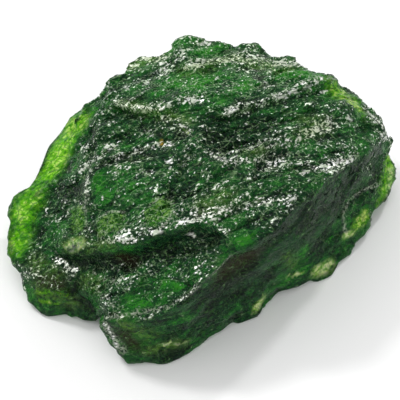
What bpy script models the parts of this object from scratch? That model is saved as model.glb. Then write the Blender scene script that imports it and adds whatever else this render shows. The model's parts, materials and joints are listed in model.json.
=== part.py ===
"""A rough crystal of chrome diopside, one solid stone as broken from its rock, lying on its flattest break.

Run with: blender --background --python part.py
Metres, +Z up. The origin lies under the middle of the stone, on the surface that it rests on.

The stone is laid out from its natural break lines. Each line is a list of marks (across, up, height) in
millimetres: across and up as seen from in front and VIEW_RISE above level, height above the table. The
marks that face the viewer make the upper skin, those that face away make the under skin, and both meet
in the rim. The skins are closed into one body, chipped along the crystal's grain, set flat on the table
and thinned to large facets.
"""

import math

import bmesh
import bpy
from mathutils import Matrix, Vector, noise
from mathutils.bvhtree import BVHTree
from mathutils.geometry import delaunay_2d_cdt

MM = 0.001
STONE = "chrome_diopside_crystal"

# Driving dimensions
VIEW_RISE = math.radians(55)  # the marks are laid out as seen from this far above level
RIM_THICKNESS = 0.45  # mm, of the thinnest edges, measured up and down
GRAIN_TURN = math.radians(26)  # the crystal's long axis, turned from +X towards +Y
GRAIN_RISE = math.radians(4)  # and raised above level
CLEAVAGE_ANGLE = math.radians(87)  # between the two planes in which diopside splits
SPLINTERS = [  # length along the grain, width, step and tilt of the faces that it splits into
    (14.0 * MM, 5.0 * MM, 0.44 * MM, 0.8 * MM),
    (6.0 * MM, 1.9 * MM, 0.48 * MM, 0.68 * MM),
    (3.0 * MM, 0.9 * MM, 0.28 * MM, 0.44 * MM),
]
CALM_FRONT = 0.6  # how much shallower the splinters are on the steep front cleavage
CALM_ENDS = 0.4  # and across the ends of the grain
SCALLOP_WIDTH = 3.4 * MM  # of the shell-shaped hollows
SCALLOP_DEPTH = 0.5 * MM
SCALLOP_MIDDLE = 0.3  # share of that depth by which the surface between the hollows stands out
SCALLOPS_ON_TOP = 0.35  # share of their depth that they have where the splinters are deepest
FULL_CHIPS = 2.6 * MM  # where the stone is thinner than this, its chips are shallower in proportion
REST_DEPTH = 0.35 * MM  # sawn off the lowest part of the underside
VOXEL = 0.15 * MM  # spacing of the even mesh that is chipped
FACETS = 9200  # triangles that it is thinned to
CLOSEST = 0.01 * MM  # corners nearer to each other than this are one corner

CRYSTAL_GREEN = (0.015, 0.12, 0.015, 1.0)
CRYSTAL_ROUGHNESS = 0.15
CRYSTAL_IOR = 1.68
CRYSTAL_CLEARNESS = 0.5

SAME_MARK = 1e-6  # mm, marks nearer than this are the same mark

# The rim, anticlockwise from the lowest corner: front edge, right end, far edge, left end
FRONT_EDGE = [
    (-5.7, 0.0, 0.8), (-4.0, 0.0, 0.6), (-2.6, -0.1, 0.5), (-1.6, 0.2, 0.5), (0.0, 1.2, 0.6),
    (1.7, 2.4, 0.6), (2.9, 3.1, 0.6), (4.8, 3.8, 0.6), (5.2, 4.5, 0.7), (6.3, 5.7, 0.9),
    (7.6, 6.1, 0.9), (8.8, 6.7, 0.9), (9.4, 6.5, 0.6), (10.2, 6.7, 0.6), (10.7, 7.3, 0.6),
    (10.9, 8.0, 0.7), (11.8, 8.8, 0.8), (12.4, 9.6, 0.9), (13.4, 10.3, 1.1), (13.8, 10.9, 1.3),
]
RIGHT_END = [
    (13.9, 11.8, 1.6), (14.3, 12.3, 1.9), (15.1, 13.1, 1.7), (15.7, 14.3, 1.9), (15.7, 15.6, 2.6),
    (15.3, 16.6, 3.6), (15.4, 17.9, 6.4), (14.9, 19.0, 7.4),
]
FAR_EDGE = [
    (14.0, 20.1, 7.8), (12.7, 21.3, 7.5), (11.5, 22.3, 7.3), (10.5, 22.9, 7.8), (9.3, 23.2, 8.3),
    (8.6, 23.6, 8.4), (8.0, 24.2, 8.0), (7.2, 24.6, 7.6), (6.4, 24.4, 7.4), (5.6, 24.6, 7.6),
    (4.7, 25.1, 8.0), (3.2, 25.5, 8.0), (1.0, 25.6, 8.0), (-0.8, 26.1, 8.5), (-1.7, 25.7, 8.4),
    (-2.6, 24.9, 7.6), (-4.7, 24.7, 6.7), (-5.8, 24.2, 6.6), (-6.4, 23.4, 7.0), (-7.7, 22.7, 7.0),
    (-8.3, 21.6, 6.8), (-9.3, 20.9, 6.4),
]
LEFT_END = [
    (-9.7, 20.1, 5.8), (-10.8, 19.4, 5.0), (-11.4, 18.4, 4.6), (-12.4, 17.3, 4.2), (-13.0, 15.6, 4.0),
    (-13.6, 14.2, 3.8), (-14.9, 13.2, 3.5), (-15.3, 11.6, 3.2), (-15.4, 9.8, 2.9), (-15.5, 8.6, 2.5),
    (-15.2, 7.6, 2.1), (-14.3, 6.6, 1.7), (-13.6, 5.5, 1.3), (-12.9, 4.2, 0.8), (-12.2, 3.8, 0.7),
    (-10.5, 3.9, 0.7), (-9.9, 3.5, 0.7), (-8.2, 3.2, 0.9), (-7.9, 3.0, 4.2), (-7.2, 1.8, 2.4),
    (-6.3, 0.5, 1.1),
]
RIM = FRONT_EDGE + RIGHT_END + FAR_EDGE + LEFT_END

# Break lines of the upper skin
CREST = [  # between the upper faces and the steep front face
    (-7.4, 3.5, 5.0), (-5.8, 3.3, 5.4), (-3.9, 3.5, 6.2), (-1.5, 4.9, 7.6), (0.6, 7.0, 9.0),
    (2.5, 8.6, 9.8), (4.6, 9.8, 10.5), (6.1, 10.9, 11.0), (7.8, 12.8, 11.4), (9.8, 14.6, 11.2),
    (11.6, 15.8, 10.5), (13.3, 16.9, 9.4), (14.6, 17.8, 8.0),
]
SLAB_LIP = [  # lower lip of the thick slab that covers the middle of the stone
    (-10.7, 9.0, 5.6), (-8.9, 8.8, 7.0), (-7.1, 9.0, 8.0), (-5.6, 9.3, 8.9), (-3.8, 9.7, 9.7),
    (-2.5, 10.2, 10.3), (-0.9, 11.2, 11.0), (0.5, 11.2, 11.2), (1.7, 10.5, 10.9), (2.9, 9.5, 10.3),
]
SLAB_FOOT = [  # where that lip meets the shelf in front of it
    (-10.4, 8.3, 4.3), (-8.8, 8.0, 5.5), (-7.0, 8.1, 6.4), (-5.4, 8.4, 7.2), (-3.5, 8.8, 8.1),
    (-2.1, 9.4, 8.8), (-0.6, 10.1, 9.5), (0.6, 10.2, 9.8), (1.5, 9.6, 9.8),
]
HIGH_RIDGE = [  # long bright ridge below the far edge
    (2.2, 19.9, 11.6), (4.1, 20.8, 11.6), (5.7, 21.2, 11.4), (7.5, 21.8, 11.0), (8.9, 22.2, 10.4),
    (10.4, 22.4, 9.6),
]
HIGH_RIDGE_FOOT = [
    (2.5, 19.1, 10.7), (4.4, 19.9, 10.5), (6.4, 20.4, 10.2), (8.2, 20.9, 9.9), (10.2, 21.4, 9.4),
]
MIDDLE_RIDGE = [  # second ridge, parallel to it
    (1.0, 15.6, 12.3), (3.4, 16.7, 12.5), (5.6, 17.5, 12.4), (8.0, 18.8, 12.0), (9.8, 19.6, 11.3),
    (11.8, 20.2, 10.2),
]
MIDDLE_RIDGE_FOOT = [
    (1.4, 14.8, 11.6), (3.8, 15.8, 11.7), (6.2, 16.7, 11.5), (8.6, 17.9, 11.1), (10.6, 18.8, 10.6),
]
LOW_RIDGE = [  # third ridge, close behind the crest
    (-3.4, 10.9, 10.3), (-0.6, 12.4, 11.2), (2.4, 13.2, 11.6), (5.2, 14.3, 11.8), (7.4, 15.2, 11.6),
    (9.8, 16.2, 11.1), (12.0, 17.2, 10.3),
]
SLAB_BACK_LIP = [  # upper left sheet, its lower lip
    (-6.8, 20.7, 9.2), (-5.2, 20.2, 10.0), (-3.2, 20.2, 10.8), (-1.4, 20.7, 11.2), (0.2, 21.2, 11.3),
]
SLAB_BACK_FOOT = [
    (-6.7, 20.0, 8.3), (-4.9, 19.5, 9.2), (-3.0, 19.5, 10.0), (-1.0, 19.9, 10.6),
]
LEFT_SHOULDER = [  # where the upper faces turn down to the left
    (-7.4, 22.0, 8.0), (-8.2, 20.4, 8.2), (-8.0, 18.4, 9.0), (-8.3, 16.6, 9.2), (-9.1, 15.0, 8.6),
    (-9.2, 13.0, 8.0), (-9.3, 11.0, 7.2), (-10.1, 9.7, 6.4),
]
LEFT_CREASE = [  # between that slope and the thin blades at the left
    (-9.4, 19.3, 6.7), (-10.1, 17.6, 6.3), (-10.6, 15.8, 5.8), (-11.3, 14.4, 5.3), (-12.4, 13.4, 4.8),
    (-12.9, 11.4, 4.5), (-12.4, 9.6, 4.3), (-11.6, 8.9, 4.2),
]
BLOCK_EDGE = [  # top edge of the low block at the left front
    (-13.9, 7.6, 3.0), (-12.6, 6.4, 3.1), (-11.2, 5.6, 3.1), (-9.8, 5.5, 3.0), (-8.9, 4.8, 2.7),
]
BLOCK_CORNER = [  # side of the front block above it
    (-9.4, 7.4, 4.7), (-8.9, 6.1, 4.9), (-7.9, 5.2, 5.3), (-7.2, 4.4, 5.3),
]
FRONT_HOLLOW = [  # bottom of the shallow hollows in the steep front face
    (-4.6, 1.6, 2.7), (-1.2, 2.6, 3.3), (1.8, 5.0, 4.2), (4.9, 6.8, 4.6), (8.2, 9.1, 4.8),
    (10.9, 11.2, 4.6), (12.9, 13.4, 4.6),
]
RIGHT_CREASE = [  # between the right end and its thin blade
    (13.5, 11.8, 2.6), (13.9, 13.0, 3.0), (14.4, 14.4, 3.4), (14.6, 15.6, 4.0),
]
UPPER_LINES = [
    CREST, SLAB_LIP, SLAB_FOOT, HIGH_RIDGE, HIGH_RIDGE_FOOT, MIDDLE_RIDGE, MIDDLE_RIDGE_FOOT, LOW_RIDGE,
    SLAB_BACK_LIP, SLAB_BACK_FOOT, LEFT_SHOULDER, LEFT_CREASE, BLOCK_EDGE, BLOCK_CORNER, FRONT_HOLLOW,
    RIGHT_CREASE,
]

# Break lines of the under skin: the edge of the face it rests on, and the far side above it
REST_EDGE = [
    (-4.9, 0.9, 0.0), (-1.4, 1.1, 0.0), (1.9, 3.3, 0.0), (4.6, 5.1, 0.0), (7.0, 6.9, 0.0),
    (10.2, 8.4, 0.0), (12.6, 11.0, 0.0), (13.4, 13.2, 0.0), (12.6, 15.6, 0.0), (9.4, 17.2, 0.0),
    (4.6, 18.3, 0.0), (-1.2, 18.1, 0.0), (-6.2, 17.0, 0.0), (-9.0, 14.4, 0.0), (-10.4, 11.0, 0.0),
    (-11.4, 7.6, 0.0), (-11.0, 5.2, 0.0), (-8.2, 4.4, 0.0), (-6.2, 2.4, 0.0),
]
FAR_BULGE = [
    (-8.6, 18.8, 4.4), (-6.0, 21.2, 3.8), (-1.8, 22.6, 3.8), (2.4, 22.8, 3.6), (6.8, 21.8, 3.4),
    (10.8, 20.0, 3.6), (13.4, 18.4, 3.8),
]
UNDER_LEFT_BLADE = [
    (-10.4, 16.8, 5.0), (-11.2, 14.6, 4.2), (-13.0, 12.2, 3.2), (-13.3, 9.6, 2.5), (-12.9, 7.2, 1.3),
]
UNDER_RIGHT_BLADE = [(14.2, 13.2, 1.0), (14.6, 15.0, 1.8)]
UNDER_SCARS = [  # hollows in the face it rests on, where pieces broke away
    [(-8.8, 8.0, 0.3), (-6.4, 9.2, 1.5), (-3.0, 10.4, 1.2), (-0.6, 11.0, 0.3)],
    [(2.6, 10.4, 0.3), (5.4, 12.2, 1.3), (8.8, 13.4, 1.5), (11.2, 13.6, 0.3)],
]
UNDER_LINES = [REST_EDGE + REST_EDGE[:1], FAR_BULGE, UNDER_LEFT_BLADE, UNDER_RIGHT_BLADE, *UNDER_SCARS]


def clear_scene():
    for obj in list(bpy.data.objects):
        bpy.data.objects.remove(obj)


def place(across, up, height):
    """Where a mark lies: across, back and above the table, in metres."""
    back = (up - height * math.cos(VIEW_RISE)) / math.sin(VIEW_RISE)
    return Vector((across, back, height)) * MM


def add_skin(body, lines, rim_drop):
    """Adds one skin: the marks joined into triangles, with every break line kept as an edge."""
    index, edges = {}, []
    rim = [(x, y, z - rim_drop) for x, y, z in RIM]
    for line in [rim + rim[:1], *lines]:
        row = [index.setdefault(mark, len(index)) for mark in line]
        edges += zip(row[:-1], row[1:])
    marks = list(index)
    flat = [Vector(mark[:2]) for mark in marks]
    _, _, triangles, origins, *_ = delaunay_2d_cdt(flat, edges, [], 1, SAME_MARK)
    spots = [body.verts.new(place(*marks[origin[0]])) for origin in origins]
    for triangle in triangles:
        body.faces.new([spots[i] for i in triangle])
    found = {origin[0]: spot for origin, spot in zip(origins, spots)}
    return [found[i] for i in range(len(rim))]


def rough_body():
    """Both skins, joined round the rim into one closed body of large flat breaks."""
    body = bmesh.new()
    upper = add_skin(body, UPPER_LINES, 0.0)
    under = add_skin(body, UNDER_LINES, RIM_THICKNESS)
    count = len(RIM)
    for i in range(count):
        j = (i + 1) % count
        body.faces.new([upper[i], upper[j], under[j], under[i]])
    bmesh.ops.recalc_face_normals(body, faces=body.faces)
    mesh = bpy.data.meshes.new(STONE)
    body.to_mesh(mesh)
    body.free()
    stone = bpy.data.objects.new(STONE, mesh)
    collection = bpy.data.collections.new("chrome diopside crystal")
    bpy.context.scene.collection.children.link(collection)
    collection.objects.link(stone)
    return stone


def bake_modifiers(stone):
    graph = bpy.context.evaluated_depsgraph_get()
    old = stone.data
    mesh = bpy.data.meshes.new_from_object(stone.evaluated_get(graph))
    stone.modifiers.clear()
    stone.data = mesh
    bpy.data.meshes.remove(old)
    mesh.name = STONE


def remesh(stone):
    modifier = stone.modifiers.new("even mesh", "REMESH")
    modifier.mode = "VOXEL"
    modifier.voxel_size = VOXEL
    bake_modifiers(stone)


def grain_axes():
    """The crystal's own axes as the rows of a matrix: along the grain, then square to each cleavage plane."""
    along = Vector((
        math.cos(GRAIN_TURN) * math.cos(GRAIN_RISE),
        math.sin(GRAIN_TURN) * math.cos(GRAIN_RISE),
        math.sin(GRAIN_RISE),
    ))
    top = (Vector((0, 0, 1)) - along * along.z).normalized()
    front = Matrix.Rotation(CLEAVAGE_ANGLE, 3, along) @ top
    return Matrix((along, top, front))


OTHER_CELLS = Vector((17, 5, 11))  # so that a splinter's tilt doesn't follow its step


def split(spot, length, width, depth, tilt):
    """How far the break stands out at a spot, in metres, where the crystal splits into long splinters.

    The steps differ by up to depth, and each splinter's face tilts its own way.
    """
    place_in_grain = Vector((spot.x / length, spot.y / width, spot.z / width))
    _, centres = noise.voronoi(place_in_grain)
    step = noise.cell_vector(centres[0]).x - 0.5
    lean = noise.cell_vector(centres[0] + OTHER_CELLS) - Vector((0.5, 0.5, 0.5))
    return depth * step + tilt * lean.dot(place_in_grain - centres[0])


def scallop(spot):
    """Shallow shell-shaped hollows with sharp edges between them, as glassy minerals chip."""
    distances, _ = noise.voronoi(spot / SCALLOP_WIDTH)
    return SCALLOP_DEPTH * (distances[0] ** 2 - SCALLOP_MIDDLE)


def thickness(tree, vertex):
    """How thick the stone is behind a vertex, measured straight in from its surface."""
    inward = -vertex.normal
    *_, distance = tree.ray_cast(vertex.co + inward * CLOSEST, inward)
    return distance or 0.0


def chip(stone):
    """Moves each vertex along its normal, so that the large breaks carry splinters, steps and hollows."""
    axes = grain_axes()
    mesh = stone.data
    tree = BVHTree.FromPolygons([v.co for v in mesh.vertices], [f.vertices for f in mesh.polygons])
    normals = [vertex.normal.copy() for vertex in mesh.vertices]
    behind = [thickness(tree, vertex) for vertex in mesh.vertices]
    for vertex, normal, thick in zip(mesh.vertices, normals, behind):
        spot = axes @ vertex.co
        facing = axes @ normal
        front, end = max(facing.z, 0.0), abs(facing.x)
        splinters = sum(split(spot, *size) for size in SPLINTERS)
        move = (1.0 - CALM_FRONT * front - CALM_ENDS * end) * splinters
        move += (SCALLOPS_ON_TOP + (1.0 - SCALLOPS_ON_TOP) * max(front, end)) * scallop(spot)
        vertex.co += normal * move * min(thick / FULL_CHIPS, 1.0)


def set_down(stone):
    """Saws off the lowest part of the underside, and puts the origin under the middle of the stone."""
    body = bmesh.new()
    body.from_mesh(stone.data)
    whole = [*body.verts, *body.edges, *body.faces]
    sawn = bmesh.ops.bisect_plane(
        body, geom=whole, plane_co=(0, 0, REST_DEPTH), plane_no=(0, 0, -1), clear_outer=True
    )
    outline = [item for item in sawn["geom_cut"] if isinstance(item, bmesh.types.BMEdge)]
    bmesh.ops.triangle_fill(body, edges=outline, use_beauty=True)
    bmesh.ops.remove_doubles(body, verts=body.verts, dist=CLOSEST)
    bmesh.ops.triangulate(body, faces=body.faces)
    bmesh.ops.recalc_face_normals(body, faces=body.faces)
    across = [vertex.co.x for vertex in body.verts]
    back = [vertex.co.y for vertex in body.verts]
    middle = Vector((max(across) + min(across), max(back) + min(back), 2 * REST_DEPTH)) / 2
    bmesh.ops.translate(body, vec=-middle, verts=body.verts)
    body.to_mesh(stone.data)
    body.free()


def thin_out(stone):
    modifier = stone.modifiers.new("large facets", "DECIMATE")
    modifier.ratio = FACETS / (2 * len(stone.data.polygons))
    bake_modifiers(stone)


def colour(stone):
    material = bpy.data.materials.new("dark green crystal")
    material.use_nodes = True
    surface = material.node_tree.nodes["Principled BSDF"]
    surface.inputs["Base Color"].default_value = CRYSTAL_GREEN
    surface.inputs["Roughness"].default_value = CRYSTAL_ROUGHNESS
    surface.inputs["Metallic"].default_value = 0.0
    surface.inputs["IOR"].default_value = CRYSTAL_IOR
    surface.inputs["Transmission Weight"].default_value = CRYSTAL_CLEARNESS
    stone.data.materials.append(material)


def main():
    clear_scene()
    stone = rough_body()
    remesh(stone)
    chip(stone)
    remesh(stone)
    thin_out(stone)
    set_down(stone)
    colour(stone)


main()
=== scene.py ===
"""The looks of a rough chrome diopside crystal: its fine splinters, clear green colour, floor and light."""
import json
import math

import bpy
import numpy as np
from mathutils import Matrix, Vector, kdtree, noise
from mathutils.bvhtree import BVHTree

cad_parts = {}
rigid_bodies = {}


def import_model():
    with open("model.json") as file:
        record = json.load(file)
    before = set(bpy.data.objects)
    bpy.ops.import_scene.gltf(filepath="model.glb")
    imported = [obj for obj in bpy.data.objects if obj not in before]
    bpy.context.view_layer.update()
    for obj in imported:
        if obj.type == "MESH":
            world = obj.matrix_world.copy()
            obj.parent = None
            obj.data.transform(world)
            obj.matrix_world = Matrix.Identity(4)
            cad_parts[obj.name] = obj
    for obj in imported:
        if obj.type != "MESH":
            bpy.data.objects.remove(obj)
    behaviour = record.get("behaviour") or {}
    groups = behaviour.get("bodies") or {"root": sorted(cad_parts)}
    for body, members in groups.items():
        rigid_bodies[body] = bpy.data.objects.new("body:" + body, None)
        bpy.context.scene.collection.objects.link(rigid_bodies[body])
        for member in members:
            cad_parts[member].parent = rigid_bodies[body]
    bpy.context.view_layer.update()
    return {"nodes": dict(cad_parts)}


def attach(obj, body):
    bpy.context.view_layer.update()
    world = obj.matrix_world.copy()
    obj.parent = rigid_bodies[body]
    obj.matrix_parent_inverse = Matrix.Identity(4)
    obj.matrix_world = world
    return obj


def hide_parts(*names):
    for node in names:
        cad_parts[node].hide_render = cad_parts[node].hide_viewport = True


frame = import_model()

# Camera
# It looks down on the stone from in front, 55 degrees above the table, as the photograph does.
MM = 0.001
VIEW_RISE = math.radians(55)
FRAME_WIDTH = 32 * MM
PIXELS = 400
LENS = 350
AIM = Vector((-0.22, -1.42, 5.65)) * MM
eye = bpy.data.cameras.new("camera")
eye.lens = LENS
distance = FRAME_WIDTH * LENS / eye.sensor_width
eye.clip_start = distance / 10
camera = bpy.data.objects.new("camera", eye)
bpy.context.scene.collection.objects.link(camera)
towards_eye = Vector((0, -math.cos(VIEW_RISE), math.sin(VIEW_RISE)))
upwards = Vector((0, math.sin(VIEW_RISE), math.cos(VIEW_RISE)))
camera.location = AIM + towards_eye * distance
camera.rotation_euler = towards_eye.to_track_quat("Z", "Y").to_euler()
bpy.context.scene.camera = camera
bpy.context.scene.view_settings.view_transform = "Standard"

# The crystal
# One broken piece of chrome diopside, a glassy green mineral. It splits into long splinters along one
# direction, so every break is covered with small flat faces and thin ledges that lie along that grain.
GRAIN_TURN = math.radians(26)
GRAIN_RISE = math.radians(4)
MESH_SPACING = 0.095 * MM
MOST_TRIANGLES = 190000
SPLINTERS = [  # length along the grain, width, step and tilt of the small faces
    (2.2 * MM, 0.95 * MM, 0.08 * MM, 0.22 * MM),
    (1.0 * MM, 0.45 * MM, 0.05 * MM, 0.13 * MM),
]
LEDGES = [(5.0 * MM, 1.4 * MM, 0.14 * MM), (2.5 * MM, 0.55 * MM, 0.07 * MM)]  # length, width and step
OTHER_CELLS = Vector((17, 5, 11))  # so that a face's tilt doesn't follow its step
STEEP = 0.6  # a normal on the steep front and left end leans out by more than this, and up by less
CALM = 0.25  # share of the fine breaks that those two sides have
THIN = 2.0 * MM  # the stone's colour is painted lighter, as light coming through, where it is thinner than this
THIN_SHARE = 0.25  # share of the fine breaks that the thinnest blades keep
PATCHES = (180, 420)  # rougher and calmer areas to the metre, along and across the grain
FINE_RELIEF = (6, 0.05 * MM)  # rounds of smoothing, and how far a vertex then stands out to count as 1
BROAD_RELIEF = (40, 0.16 * MM)
NORMAL_ROUNDS = 30
THIN_ROUNDS = 20

# Marks on the stone: a width in mm, then points of the photograph that they run through, in pixels.
FROSTED = [  # streaks of crushed crystal along the high edges: rougher, with crowded painted white glints
    (0.42, [(229, 112), (246, 109)]),
    (0.34, [(246, 106), (262, 104), (290, 92), (331, 78)]),
    (0.45, [(338, 92), (352, 104), (372, 116), (386, 136)]),
    (0.30, [(213, 155), (226, 162), (247, 162)]),
    (0.40, [(300, 136), (325, 126), (345, 122)]),
    (0.35, [(301, 173), (330, 165), (357, 157)]),
    (0.60, [(112, 243), (132, 236), (171, 227)]),
    (0.45, [(171, 227), (208, 213), (257, 204), (295, 199)]),
    (0.35, [(178, 229), (200, 235), (215, 232)]),
    (0.55, [(118, 243), (145, 238), (170, 230)]),
    (0.40, [(116, 101), (140, 111), (165, 105), (200, 98)]),
    (0.70, [(122, 72), (140, 61), (165, 60)]),
    (0.60, [(165, 72), (185, 50), (205, 44)]),
    (0.80, [(190, 64), (215, 60), (250, 58), (290, 64)]),
    (0.30, [(158, 114), (185, 126)]),
    (0.45, [(82, 168), (95, 158), (108, 150)]),
    (0.35, [(112, 157), (140, 150), (172, 143)]),
    (0.50, [(60, 256), (72, 270)]),
    (0.30, [(170, 307), (195, 290), (231, 255)]),
]
SALTED = [  # dark places with fine painted white glints and pale cracks
    (1.30, [(258, 168), (280, 153), (308, 142)]),
    (0.80, [(330, 170), (350, 150)]),
    (0.70, [(180, 128), (205, 150), (235, 160)]),
    (0.70, [(120, 170), (150, 175)]),
    (0.70, [(188, 232), (214, 233)]),
    (0.60, [(88, 262), (130, 258)]),
    (1.40, [(128, 88), (168, 84), (210, 86), (255, 84), (300, 76)]),
    (1.20, [(205, 55), (250, 62)]),
    (0.60, [(105, 285), (150, 268)]),
    (0.80, [(95, 240), (150, 218), (190, 208)]),
]
LIT_PLACES = [  # thin blades at the outline, painted lighter as if lit through by the table behind them
    (1.20, [(78, 124), (64, 146), (52, 172)]),
    (1.10, [(34, 190), (24, 212), (18, 240)]),
    (0.95, [(333, 86), (345, 95), (357, 107)]),
    (1.10, [(389, 166), (389, 184), (385, 202)]),
    (0.50, [(356, 226), (366, 216)]),
    (0.16, [(37, 293), (52, 292), (66, 296)]),
    (0.14, [(40, 301), (58, 304)]),
]
BRIGHT_EDGES = [  # small lips and flecks with painted glow, paler than the blades, for light coming through them
    (0.65, [(317, 271), (329, 265)]),
    (0.35, [(344, 236), (352, 233)]),
    (0.45, [(256, 308), (263, 299)]),
    (0.60, [(69, 247), (78, 243)]),
    (0.14, [(289, 275), (303, 273)]),
    (0.10, [(134, 334), (142, 331)]),
    (0.10, [(139, 352), (143, 352)]),
    (0.12, [(164, 345), (170, 342)]),
    (0.10, [(180, 344), (187, 341)]),
    (0.45, [(391, 172), (389, 194)]),
    (0.35, [(342, 90), (354, 102)]),
    (0.08, [(181, 128), (188, 133)]),
]
EDGE_HIGHLIGHTS = [  # painted highlights along sharp edges that catch the light
    (0.13, [(381, 184), (362, 190), (349, 200), (343, 215), (345, 232)]),
    (0.12, [(104, 318), (140, 312), (170, 307), (195, 290), (215, 272), (231, 255)]),
    (0.11, [(88, 165), (86, 205)]),
    (0.12, [(97, 290), (106, 297), (113, 306)]),
    (0.09, [(94, 272), (103, 280), (114, 281)]),
    (0.32, [(105, 325), (113, 338), (122, 350)]),
    (0.10, [(95, 224), (101, 216), (112, 211), (124, 212), (125, 222)]),
    (0.10, [(150, 204), (160, 198), (171, 201), (174, 210), (168, 221), (158, 229)]),
    (0.10, [(68, 210), (78, 205), (86, 210), (86, 228)]),
]
PLATES = [  # smooth flakes that stand a little proud of the break
    (0.95, [(104, 226), (116, 220)]),
    (1.05, [(154, 216), (164, 208)]),
    (0.70, [(76, 212), (78, 226)]),
]
WHITE_CHIPS = [  # the largest of the flat faces that shine white: a painted white glint in the colour, with a glossy coat
    (0.13, [(278, 97), (286, 97)]),
    (0.14, [(306, 88), (310, 86)]),
    (0.13, [(291, 92), (296, 91)]),
    (0.12, [(321, 92), (326, 91)]),
    (0.13, [(230, 111), (235, 110)]),
    (0.16, [(348, 118), (351, 120)]),
    (0.10, [(158, 61), (166, 70)]),
    (0.13, [(198, 44), (204, 43)]),
    (0.13, [(154, 233), (160, 232)]),
    (0.13, [(191, 234), (194, 236)]),
    (0.12, [(196, 272), (200, 273)]),
    (0.11, [(289, 200), (294, 198)]),
    (0.12, [(338, 163), (341, 162)]),
    (0.11, [(223, 209), (227, 210)]),
    (0.12, [(168, 162), (172, 163)]),
    (0.11, [(125, 87), (127, 89)]),
    (0.11, [(283, 62), (285, 65)]),
    (0.11, [(215, 219), (219, 219)]),
    (0.13, [(106, 325), (110, 332)]),
    (0.15, [(113, 337), (117, 346)]),
]
OLIVE_PLACES = [  # yellowish green flakes
    (0.55, [(66, 247), (84, 243)]),
    (0.45, [(88, 247), (112, 243)]),
    (0.70, [(86, 280), (96, 284)]),
    (0.80, [(205, 205), (225, 195)]),
    (0.80, [(305, 120), (322, 126)]),
    (0.60, [(120, 101), (150, 112), (185, 120)]),
    (0.90, [(130, 66), (160, 58)]),
    (0.80, [(185, 70), (230, 58), (290, 70)]),
    (0.70, [(35, 262), (55, 275)]),
    (0.80, [(38, 290), (70, 302)]),
    (0.50, [(286, 256), (294, 264)]),
    (0.50, [(246, 152), (262, 150)]),
    (0.50, [(300, 134), (325, 128)]),
    (0.45, [(148, 350), (186, 342)]),
    (0.70, [(125, 325), (150, 335)]),
]
PAINTED_GLOW_PLACES = [  # painted glow of light that comes back out through clear green places inside the stone
    (1.20, [(170, 84), (205, 82)]),
    (0.90, [(196, 54), (215, 52)]),
    (0.80, [(225, 100), (250, 84)]),
    (0.50, [(238, 240), (250, 238)]),
    (0.60, [(132, 300), (144, 304)]),
    (0.50, [(168, 284), (176, 286)]),
    (0.90, [(285, 75), (300, 72)]),
    (0.80, [(95, 175), (100, 190)]),
    (0.60, [(228, 318), (238, 305)]),
    (0.60, [(296, 262), (305, 250)]),
    (0.60, [(150, 335), (175, 325)]),
    (0.50, [(330, 238), (336, 226)]),
]
DARK_PLACES = [  # painted shade, where no light comes back out of the stone
    (2.00, [(215, 290), (250, 262), (300, 225), (340, 190), (370, 160)]),
    (0.90, [(80, 262), (120, 262), (160, 255), (200, 250)]),
    (0.70, [(190, 230), (214, 232)]),
    (1.30, [(215, 135), (255, 130)]),
    (0.60, [(172, 128), (186, 134)]),
    (0.80, [(62, 160), (66, 200)]),
]
BROWN_PLACES = [  # reddish and brownish stains
    (1.00, [(222, 272), (250, 254)]),
    (0.60, [(40, 282), (60, 284)]),
    (0.60, [(121, 256), (134, 262)]),
    (0.70, [(125, 335), (135, 345)]),
]
AMBER_SPOTS = [  # one small painted orange glint beside the pit
    (0.11, [(161, 141), (162, 144)]),
]
HOLLOWS = [  # radius and depth in mm, and the middle in pixels; a flake that stands proud has a depth below 0
    (1.9, 0.35, (357, 207)),
    (1.8, 0.30, (236, 264)),
    (1.0, 0.40, (178, 133)),
    (1.3, -0.22, (108, 222)),
    (1.2, -0.20, (156, 209)),
    (1.0, -0.18, (322, 124)),
    (0.9, -0.15, (76, 218)),
]

rough = frame["nodes"]["chrome_diopside_crystal"]
crystal = bpy.data.objects.new("crystal", rough.data.copy())
bpy.context.scene.collection.objects.link(crystal)
bpy.ops.object.select_all(action="DESELECT")
crystal.select_set(True)
bpy.context.view_layer.objects.active = crystal
bpy.ops.object.mode_set(mode="EDIT")
bpy.ops.mesh.select_all(action="SELECT")
bpy.ops.mesh.remove_doubles(threshold=0.001 * MM)
bpy.ops.object.mode_set(mode="OBJECT")

even = crystal.modifiers.new("even mesh", "REMESH")
even.mode = "VOXEL"
even.voxel_size = MESH_SPACING
bpy.ops.object.modifier_apply(modifier=even.name)

# The new mesh can have loose crumbs, so whatever isn't joined to its highest point is deleted.
highest = max(crystal.data.vertices, key=lambda vertex: vertex.co.z).index
bpy.ops.object.mode_set(mode="EDIT")
bpy.ops.mesh.select_all(action="DESELECT")
bpy.ops.object.mode_set(mode="OBJECT")
crystal.data.vertices[highest].select = True
bpy.ops.object.mode_set(mode="EDIT")
bpy.ops.mesh.select_linked()
bpy.ops.mesh.select_all(action="INVERT")
bpy.ops.mesh.delete(type="VERT")
bpy.ops.object.mode_set(mode="OBJECT")


def surface_tree(mesh):
    return BVHTree.FromPolygons([v.co for v in mesh.vertices], [f.vertices for f in mesh.polygons])


def on_stone(tree, pixel):
    """The point of the stone that the photograph shows at a pixel."""
    right = (pixel[0] - PIXELS / 2) / PIXELS * FRAME_WIDTH
    up = (PIXELS / 2 - pixel[1]) / PIXELS * FRAME_WIDTH
    seen = AIM + Vector((right, 0, 0)) + upwards * up
    hit, *_ = tree.ray_cast(camera.location, (seen - camera.location).normalized())
    return hit


grain = Matrix.Rotation(GRAIN_RISE, 3, "Y") @ Matrix.Rotation(-GRAIN_TURN, 3, "Z")


def split(spot, length, width, step, tilt):
    """How far the break stands out where the crystal splits into small tilted faces along its grain."""
    place = Vector((spot.x / length, spot.y / width, spot.z / width))
    _, centres = noise.voronoi(place)
    lean = noise.cell_vector(centres[0] + OTHER_CELLS) - Vector((0.5, 0.5, 0.5))
    return step * (noise.cell_vector(centres[0]).x - 0.5) + tilt * lean.dot(place - centres[0])


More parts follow.
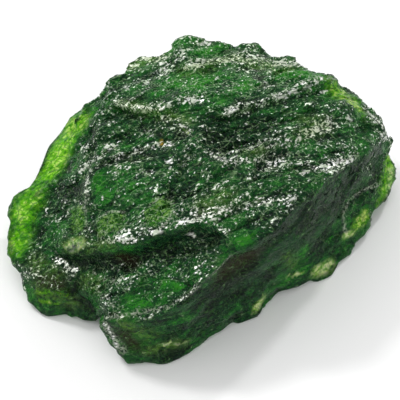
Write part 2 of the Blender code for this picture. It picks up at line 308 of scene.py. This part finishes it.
def ledge(spot, length, width, step):
    """How far the break stands out where it goes down in long ledges, steep on their front."""
    bend = noise.noise(Vector((spot.x / length, spot.y / width / 4, spot.z / width / 4)))
    place = (spot.y + 0.5 * spot.z) / width + 1.2 * bend
    number = math.floor(place)
    strong = 0.55 + 1.1 * noise.noise(Vector((spot.x / length * 1.7, number * 7.3, 4.0)))
    return step * min(max(strong, 0.0), 1.0) * (0.5 - (place - number))


along, across = PATCHES
tree = surface_tree(crystal.data)
hollows = [(on_stone(tree, pixel), radius * MM, depth * MM) for radius, depth, pixel in HOLLOWS]
normals = [vertex.normal.copy() for vertex in crystal.data.vertices]
for vertex, normal in zip(crystal.data.vertices, normals):
    spot = grain @ vertex.co
    *_, through = tree.ray_cast(vertex.co - normal * MESH_SPACING / 4, -normal)
    calm = CALM if min(normal.x, normal.y) < -STEEP and normal.z < STEEP else 1.0
    calm *= min(1.0, THIN_SHARE + (through or 0.0) / THIN)
    patchy = 0.55 + 0.9 * noise.noise(Vector((spot.x * along, spot.y * across, spot.z * across)))
    move = sum(split(spot, *size) for size in SPLINTERS) * calm * min(max(patchy, 0.2), 1.2)
    move += sum(ledge(spot, *size) for size in LEDGES) * calm
    for middle, radius, depth in hollows:
        away = (vertex.co - middle).length / radius
        if away < 1.0:
            move -= depth * (1.0 - away ** 2 if depth > 0 else min(1.0, 3.0 - 3.0 * away))
    if vertex.co.z > MESH_SPACING:
        vertex.co += normal * move

fewer = crystal.modifiers.new("fewer triangles", "DECIMATE")
fewer.ratio = MOST_TRIANGLES / (2 * len(crystal.data.polygons))
fewer.use_collapse_triangulate = True
bpy.ops.object.modifier_apply(modifier=fewer.name)
for vertex in crystal.data.vertices:
    vertex.co.z = max(vertex.co.z, 0.0)
bpy.ops.object.shade_flat()

mesh = crystal.data
tree = surface_tree(mesh)
places = np.array([vertex.co for vertex in mesh.vertices])
links = np.array([edge.vertices for edge in mesh.edges])
links = np.concatenate([links, links[:, ::-1]])
shares = 1.0 / np.bincount(links[:, 0], minlength=len(places))


def smoothed(values, rounds):
    """Each vertex takes the mean of its neighbours, again and again."""
    vertex, neighbour = links.T
    for _ in range(rounds):
        columns = [np.bincount(vertex, column[neighbour], len(places)) for column in values.T]
        values = np.stack(columns, axis=1) * shares[:, None]
    return values


def keep(name, values):
    attribute = mesh.attributes.new(name, "FLOAT", "POINT")
    attribute.data.foreach_set("value", np.clip(values, 0.0, 1.0))


def near(marks):
    """1 on a mark and 0 well away from it, for every vertex."""
    points = []
    for width, pixels in marks:
        for a, b in zip(pixels[:-1], pixels[1:]):
            steps = max(2, round(math.dist(a, b) / 2))
            for share in np.linspace(0, 1, steps):
                hit = on_stone(tree, (a[0] + share * (b[0] - a[0]), a[1] + share * (b[1] - a[1])))
                if hit:
                    points.append((hit, width * MM))
    finder = kdtree.KDTree(len(points))
    for i, (point, width) in enumerate(points):
        finder.insert(point, i)
    finder.balance()
    result = []
    for vertex in mesh.vertices:
        _, i, away = finder.find(vertex.co)
        result.append(math.exp(-(away / points[i][1]) ** 2))
    return np.array(result)


slow_normals = smoothed(np.array([vertex.normal for vertex in mesh.vertices]), NORMAL_ROUNDS)
slow_normals /= np.maximum(np.linalg.norm(slow_normals, axis=1), 0.001)[:, None]
depths = []
for vertex, normal in zip(mesh.vertices, slow_normals):
    inward = Vector(-normal)
    *_, depth = tree.ray_cast(vertex.co + inward * 2 * MESH_SPACING, inward)
    depths.append(depth or 0.0)
thin = smoothed(np.clip(1.0 - np.array(depths) / THIN, 0.0, 1.0)[:, None], THIN_ROUNDS)[:, 0]


def relief_over(rounds, height):
    """How far each vertex stands out of the smoothed stone: 1 at the given height, below 0 in a dip."""
    return np.einsum("ij,ij->i", places - smoothed(places, rounds), slow_normals) / height


fine = relief_over(*FINE_RELIEF)
broad = relief_over(*BROAD_RELIEF)
steep = np.clip((-slow_normals[:, 1] - 0.45) * 4, 0, 1) * np.clip((0.75 - slow_normals[:, 2]) * 4, 0, 1)
# Convex ridges add to the frost, and so to its painted glints; hollows get painted shade.
ridges = np.clip(fine, 0, 1) * 0.25 + np.clip(broad, 0, 1) * 0.2
crease_shade = np.clip(-broad, 0, 1) * 0.4 + np.clip(-fine, 0, 1) * 0.3

# A mark that is multiplied, and then has a share taken off, has a harder edge.
bright = np.clip(near(BRIGHT_EDGES) * 2.2 - 0.6, 0, 1)
thin = np.clip(np.maximum(thin * 2.0 - 0.5, near(LIT_PLACES) * 1.25 - 0.1), 0, 1)
keep("thin", thin)
keep("bright", bright)
keep("lines", near(EDGE_HIGHLIGHTS) * 1.3)
keep("amber", near(AMBER_SPOTS) * 1.5)
keep("rim", np.clip(broad * 1.5 - 1.0, 0, 1) * np.clip(thin + bright, 0, 1))
keep("frost", (near(FROSTED) + ridges) * (1 - 0.8 * steep) - thin - bright)
keep("salt", near(SALTED))
keep("plate", near(PLATES))
# Painted white glints on the marked chips.
keep("chips", near(WHITE_CHIPS) * 2.5 - 0.7)
keep("olive", near(OLIVE_PLACES))
keep("painted_glow", near(PAINTED_GLOW_PLACES))
# Painted shade: the marked dark places, the hollows, and a little over all the steep front.
keep("dark", near(DARK_PLACES) * 0.6 + crease_shade + 0.3 * steep)
keep("brown", near(BROWN_PLACES))
keep("steep", steep)

facets = bpy.data.node_groups.new("splinter faces", "ShaderNodeTree")
facets.interface.new_socket("Scale", in_out="INPUT", socket_type="NodeSocketVector")
facets.interface.new_socket("Tilt", in_out="INPUT", socket_type="NodeSocketFloat")
facets.interface.new_socket("Height", in_out="OUTPUT", socket_type="NodeSocketFloat")
facets.interface.new_socket("Chance", in_out="OUTPUT", socket_type="NodeSocketFloat")
given = facets.nodes.new("NodeGroupInput")
gives = facets.nodes.new("NodeGroupOutput")
where = facets.nodes.new("ShaderNodeTexCoord")
turned = facets.nodes.new("ShaderNodeMapping")
turned.inputs["Rotation"].default_value = (0, GRAIN_RISE, -GRAIN_TURN)
scaled = facets.nodes.new("ShaderNodeVectorMath")
scaled.operation = "MULTIPLY"
cells = facets.nodes.new("ShaderNodeTexVoronoi")
cells.inputs["Scale"].default_value = 1.0
offset = facets.nodes.new("ShaderNodeVectorMath")
offset.operation = "SUBTRACT"
lean = facets.nodes.new("ShaderNodeVectorMath")
lean.operation = "SUBTRACT"
lean.inputs[1].default_value = (0.5, 0.5, 0.5)
slope = facets.nodes.new("ShaderNodeVectorMath")
slope.operation = "DOT_PRODUCT"
height = facets.nodes.new("ShaderNodeMath")
height.operation = "MULTIPLY"
chance = facets.nodes.new("ShaderNodeSeparateColor")
join = facets.links.new
join(where.outputs["Object"], turned.inputs["Vector"])
join(turned.outputs["Vector"], scaled.inputs[0])
join(given.outputs["Scale"], scaled.inputs[1])
join(scaled.outputs["Vector"], cells.inputs["Vector"])
join(scaled.outputs["Vector"], offset.inputs[0])
join(cells.outputs["Position"], offset.inputs[1])
join(cells.outputs["Color"], lean.inputs[0])
join(offset.outputs["Vector"], slope.inputs[0])
join(lean.outputs["Vector"], slope.inputs[1])
join(slope.outputs["Value"], height.inputs[0])
join(given.outputs["Tilt"], height.inputs[1])
join(height.outputs["Value"], gives.inputs["Height"])
join(cells.outputs["Color"], chance.inputs["Color"])
join(chance.outputs["Red"], gives.inputs["Chance"])

glassy = bpy.data.materials.new("green crystal")
glassy.use_nodes = True
nodes = glassy.node_tree.nodes
join = glassy.node_tree.links.new
surface = nodes["Principled BSDF"]

# With the mineral's own refractive index, 1.67, the splinters mirror the pale room as a grey haze that
# the photograph doesn't have, so the clear stone has a lower one. The coat lies only on the chips with
# painted white glints and on the lips with painted glow, and its high index makes them shine as a split face
# turned to the light does.
surface.inputs["IOR"].default_value = 1.2
surface.inputs["Specular IOR Level"].default_value = 0.1
surface.inputs["Transmission Weight"].default_value = 0.5
surface.inputs["Coat IOR"].default_value = 4.0
surface.inputs["Coat Roughness"].default_value = 0.4


def add(kind, **values):
    node = nodes.new(kind)
    for name, value in values.items():
        setattr(node, name, value)
    return node


def faces(length, width, tilt):
    """Cells along the grain, each with a chance of its own and a face that tilts its own way."""
    group = add("ShaderNodeGroup", node_tree=facets)
    group.inputs["Scale"].default_value = (1 / length, 1 / width, 1 / width)
    group.inputs["Tilt"].default_value = tilt
    return group


def math_node(operation, a, b, clamp=False):
    node = add("ShaderNodeMath", operation=operation, use_clamp=clamp)
    for socket, value in zip(node.inputs, (a, b)):
        if isinstance(value, (int, float)):
            socket.default_value = value
        else:
            join(value, socket)
    return node.outputs["Value"]


def times(a, b, clamp=False):
    return math_node("MULTIPLY", a, b, clamp)


def either(a, b):
    """The stronger of two masks."""
    return math_node("MAXIMUM", a, b)


def total(*parts):
    """The sum of values, each times its weight."""
    result = 0.0
    for value, weight in parts:
        result = math_node("ADD", result, times(value, weight))
    return result


BLACK = (0, 0, 0)
WHITE = (1, 1, 1)


def ramp(value, *stops):
    """A colour for each place on the scale of a value, blended in between."""
    node = add("ShaderNodeValToRGB")
    elements = node.color_ramp.elements
    while len(elements) < len(stops):
        elements.new(0.5)
    for element, (position, colour) in zip(elements, stops):
        element.position = position
        element.color = (*colour, 1)
    join(value, node.inputs["Fac"])
    return node.outputs["Color"]


def above(value, low, high):
    """0 where the value is under low, and 1 where it is over high."""
    return ramp(value, (low, BLACK), (high, WHITE))


def mix(share, a, b):
    """Colour a where the share is 0, and colour b where it is 1."""
    node = add("ShaderNodeMix", data_type="RGBA")
    join(share, node.inputs["Factor"])
    for socket, value in ((node.inputs[6], a), (node.inputs[7], b)):
        if isinstance(value, tuple):
            socket.default_value = (*value, 1)
        else:
            join(value, socket)
    return node.outputs[2]


def mask(name):
    """A value that the vertices keep under this name."""
    return add("ShaderNodeAttribute", attribute_name=name).outputs["Fac"]


def along_grain(node, length, width):
    """Stretches a texture along the grain."""
    stretch = add("ShaderNodeMapping")
    stretch.inputs["Rotation"].default_value = (0, GRAIN_RISE, -GRAIN_TURN)
    stretch.inputs["Scale"].default_value = (1 / length, 1 / width, 1 / width)
    join(where.outputs["Object"], stretch.inputs["Vector"])
    join(stretch.outputs["Vector"], node.inputs["Vector"])
    node.inputs["Scale"].default_value = 1.0
    return node


def cloud(length, width, detail):
    node = along_grain(add("ShaderNodeTexNoise"), length, width)
    node.inputs["Detail"].default_value = detail
    return node.outputs["Fac"]


def cracks(length, width, thickness):
    """1 on the straight lines where splinters meet and 0 away from them."""
    node = along_grain(add("ShaderNodeTexVoronoi", feature="DISTANCE_TO_EDGE"), length, width)
    return ramp(node.outputs["Distance"], (0.0, WHITE), (thickness, BLACK))


where = add("ShaderNodeTexCoord")
large = faces(2.4 * MM, 0.7 * MM, 0.0)
small = faces(0.42 * MM, 0.26 * MM, 0.09 * MM)
tiny = faces(0.17 * MM, 0.13 * MM, 0.06 * MM)
large_chance = large.outputs["Chance"]
small_chance = small.outputs["Chance"]
tiny_chance = tiny.outputs["Chance"]
bands = cloud(6 * MM, 2.0 * MM, 4.0)
patches = cloud(4 * MM, 2.5 * MM, 3.0)
flecks = cloud(0.42 * MM, 0.36 * MM, 2.5)
grit = cloud(0.19 * MM, 0.17 * MM, 1.0)
fibres = cloud(2.4 * MM, 0.32 * MM, 2.0)
gaps = cloud(1.1 * MM, 0.6 * MM, 2.0)
long_cracks = cracks(1.6 * MM, 0.9 * MM, 0.05)
short_cracks = cracks(0.5 * MM, 0.4 * MM, 0.11)

# Where the stone is crushed, thin, flaked or rugged.
salt = mask("salt")
olive = mask("olive")
lips = mask("bright")
painted_glow = mask("painted_glow")
frosted = times(mask("frost"), total((gaps, 3.2), (-0.7, 1.0)), True)
thinness = times(mask("thin"), total((flecks, 1.7), (small_chance, 0.5)), True)
plate = total((mask("plate"), 1.8), (flecks, 0.8), (small_chance, 0.3), (-1.05, 1.0))
plate = times(plate, 1.6, True)
smooth_places = either(either(thinness, mask("steep")), either(plate, lips))
rugged = times(math_node("SUBTRACT", bands, 0.55, True), 4.0)
rugged = total((rugged, 1.0), (frosted, 1.0), (olive, 0.1), (painted_glow, -0.5))
rugged = math_node("SUBTRACT", rugged, smooth_places, True)

# The green of the clear stone, with its olive and brown places, lighter where glow is painted and darker
# where shade is painted.
NEARLY_BLACK = (0.005, 0.016, 0.009)
BOTTLE_GREEN = (0.013, 0.065, 0.024)
CLEAR_GREEN = (0.022, 0.19, 0.025)
BRIGHT_GREEN = (0.06, 0.38, 0.025)
CRUSHED_GREEN = (0.02, 0.055, 0.025)
OLIVE = (0.12, 0.26, 0.04)
BROWN = (0.04, 0.028, 0.012)
tone = total((patches, 1.15), (large_chance, 0.16), (small_chance, 0.2), (flecks, 0.3), (fibres, 0.4),
             (tiny_chance, 0.2), (painted_glow, 0.28), (mask("dark"), -0.35), (-0.455, 1.0))
green = ramp(times(tone, 0.8), (0.32, NEARLY_BLACK), (0.52, BOTTLE_GREEN), (0.72, CLEAR_GREEN),
             (0.95, BRIGHT_GREEN))
green = mix(times(rugged, 0.5), green, CRUSHED_GREEN)
green = mix(times(olive, above(flecks, 0.35, 0.65)), green, OLIVE)
green = mix(times(mask("brown"), 0.7), green, BROWN)

# Smooth flakes, the blades and lips painted lighter for the light that comes through them, and the dark rim
# round them.
flake = total((flecks, 0.7), (grit, 0.3), (tiny_chance, 0.2))
flake = ramp(flake, (0.47, (0.012, 0.09, 0.008)), (0.62, (0.06, 0.25, 0.02)), (0.78, (0.35, 0.6, 0.12)))
green = mix(times(plate, 0.85), green, flake)
# Painted light coming through the thin blades.
lit = total((flecks, 0.7), (patches, 0.6), (small_chance, 0.15), (mask("thin"), 0.12))
lit = ramp(lit, (0.54, (0.02, 0.14, 0.006)), (0.7, (0.07, 0.36, 0.008)), (0.86, (0.23, 0.62, 0.015)),
           (0.97, (0.7, 0.95, 0.2)))
green = mix(thinness, green, lit)
# Painted glow of light coming through the lips.
painted_lip_glow = total((flecks, 0.8), (small_chance, 0.25))
painted_lip_glow = ramp(painted_lip_glow, (0.3, (0.04, 0.18, 0.01)), (0.46, (0.28, 0.65, 0.05)), (0.62, (0.85, 1.0, 0.35)))
green = mix(lips, green, painted_lip_glow)
green = mix(mask("rim"), green, (0.01, 0.04, 0.01))

# Pale splinters, and the cracks between them: light on the dark stone and dark where it is lit through.
pale = above(total((flecks, 1.0), (tiny_chance, 0.12), (rugged, 0.16)), 0.72, 0.86)
green = mix(pale, green, (0.22, 0.36, 0.17))
clear = math_node("SUBTRACT", 1.0, times(mask("steep"), 0.8), True)
veins = times(times(long_cracks, above(flecks, 0.44, 0.58)), clear)
green = mix(times(veins, 0.7), green, (0.3, 0.48, 0.22))
threads = times(short_cracks, above(grit, 0.45, 0.57))
green = mix(times(threads, 0.35), green, (0.1, 0.36, 0.05))
seams = times(either(thinness, lips), either(long_cracks, threads))
green = mix(times(seams, 0.7, True), green, (0.03, 0.16, 0.01))
white_threads = times(threads, total((rugged, 0.5), (plate, 0.3), (salt, 0.6)))
green = mix(times(white_threads, clear, True), green, (0.6, 0.7, 0.5))
# Painted highlights along the marked sharp edges.
painted_edge_highlights = times(mask("lines"), above(grit, 0.42, 0.6))
green = mix(times(painted_edge_highlights, 0.7), green, (0.45, 0.55, 0.35))

# Painted white glints on flat chips, which also get a glossy coat: fine sparks, larger faces and the marked
# ones.
sparks = total((tiny_chance, 0.45), (grit, 0.45), (flecks, 0.25), (rugged, 0.18), (salt, 0.045),
               (smooth_places, -0.16))
sparks = ramp(sparks, (0.79, BLACK), (0.86, (0.25, 0.25, 0.25)), (0.91, WHITE))
chips = total((small_chance, 0.4), (flecks, 0.6), (grit, 0.2), (rugged, 0.2), (smooth_places, -0.2))
sparks = either(sparks, above(chips, 0.88, 0.94))
sparks = either(either(sparks, times(painted_edge_highlights, 0.2)), mask("chips"))
# The near-white spark colour is a painted glint in the base colour; only the coat adds real gloss.
spark_colour = ramp(small_chance, (0.0, (0.95, 0.97, 0.95)), (0.6, (0.95, 0.93, 0.8)),
                    (1.0, (0.6, 0.8, 0.45)))
spark_colour = mix(olive, spark_colour, (0.66, 0.82, 0.34))
green_with_painted_glints = mix(sparks, green, spark_colour)
shine = times(lips, ramp(flecks, (0.4, (0.05, 0.05, 0.05)), (0.6, (0.3, 0.3, 0.3))))
join(either(sparks, shine), surface.inputs["Coat Weight"])
join(mix(mask("amber"), green_with_painted_glints, (0.85, 0.5, 0.03)), surface.inputs["Base Color"])
join(total((pale, 0.2), (sparks, 0.35), (0.08, 1.0)), surface.inputs["Roughness"])

bump = add("ShaderNodeBump")
bump.inputs["Strength"].default_value = 1.0
bump.inputs["Distance"].default_value = 1.0
relief = math_node("ADD", small.outputs["Height"], tiny.outputs["Height"])
join(times(relief, total((rugged, 1.6), (0.4, 1.0))), bump.inputs["Height"])
join(bump.outputs["Normal"], surface.inputs["Normal"])
inside = add("ShaderNodeVolumeAbsorption")
inside.inputs["Color"].default_value = (0.5, 0.95, 0.05, 1)
inside.inputs["Density"].default_value = 1800.0
join(inside.outputs["Volume"], nodes["Material Output"].inputs["Volume"])
crystal.data.materials.clear()
crystal.data.materials.append(glassy)
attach(crystal, "root")
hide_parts("chrome_diopside_crystal")

# The floor
# A plain white sheet of matt paper under the stone, as on a photographer's table. It is wide enough to
# fill the picture from every side.
bpy.ops.mesh.primitive_plane_add(size=3.0)
floor = bpy.context.object
floor.name = "floor"
paper = bpy.data.materials.new("white paper")
paper.use_nodes = True
paper.node_tree.nodes["Principled BSDF"].inputs["Base Color"].default_value = (0.9, 0.9, 0.9, 1)
paper.node_tree.nodes["Principled BSDF"].inputs["Roughness"].default_value = 0.7
floor.data.materials.append(paper)

# Light
# A pale room as even as a light tent, a soft box above, two small bright lamps behind the stone that make
# its faces sparkle, and a weak fill for its steep front.
ROOM_BRIGHTNESS = 0.62
STONE_MIDDLE = Vector((0, 0, 6 * MM))
world = bpy.data.worlds.new("pale room")
bpy.context.scene.world = world
world.use_nodes = True
world.node_tree.nodes["Background"].inputs["Color"].default_value = (1, 1, 1, 1)
world.node_tree.nodes["Background"].inputs["Strength"].default_value = ROOM_BRIGHTNESS


def lamp(name, place, size, power):
    """A square light that faces the stone: its place and side in metres, and its power in watts."""
    light = bpy.data.lights.new(name, "AREA")
    light.shape = "SQUARE"
    light.size = size
    light.energy = power
    box = bpy.data.objects.new(name, light)
    bpy.context.scene.collection.objects.link(box)
    box.location = place
    box.rotation_euler = (box.location - STONE_MIDDLE).to_track_quat("Z", "Y").to_euler()


lamp("key lamp", (-0.30, 0.22, 0.42), 0.09, 1.2)
lamp("second lamp", (0.22, 0.38, 0.40), 0.04, 0.8)
lamp("soft box", (-0.20, 0.20, 0.70), 0.8, 1.6)
lamp("front fill", (0.14, -0.45, 0.16), 0.35, 0.6)
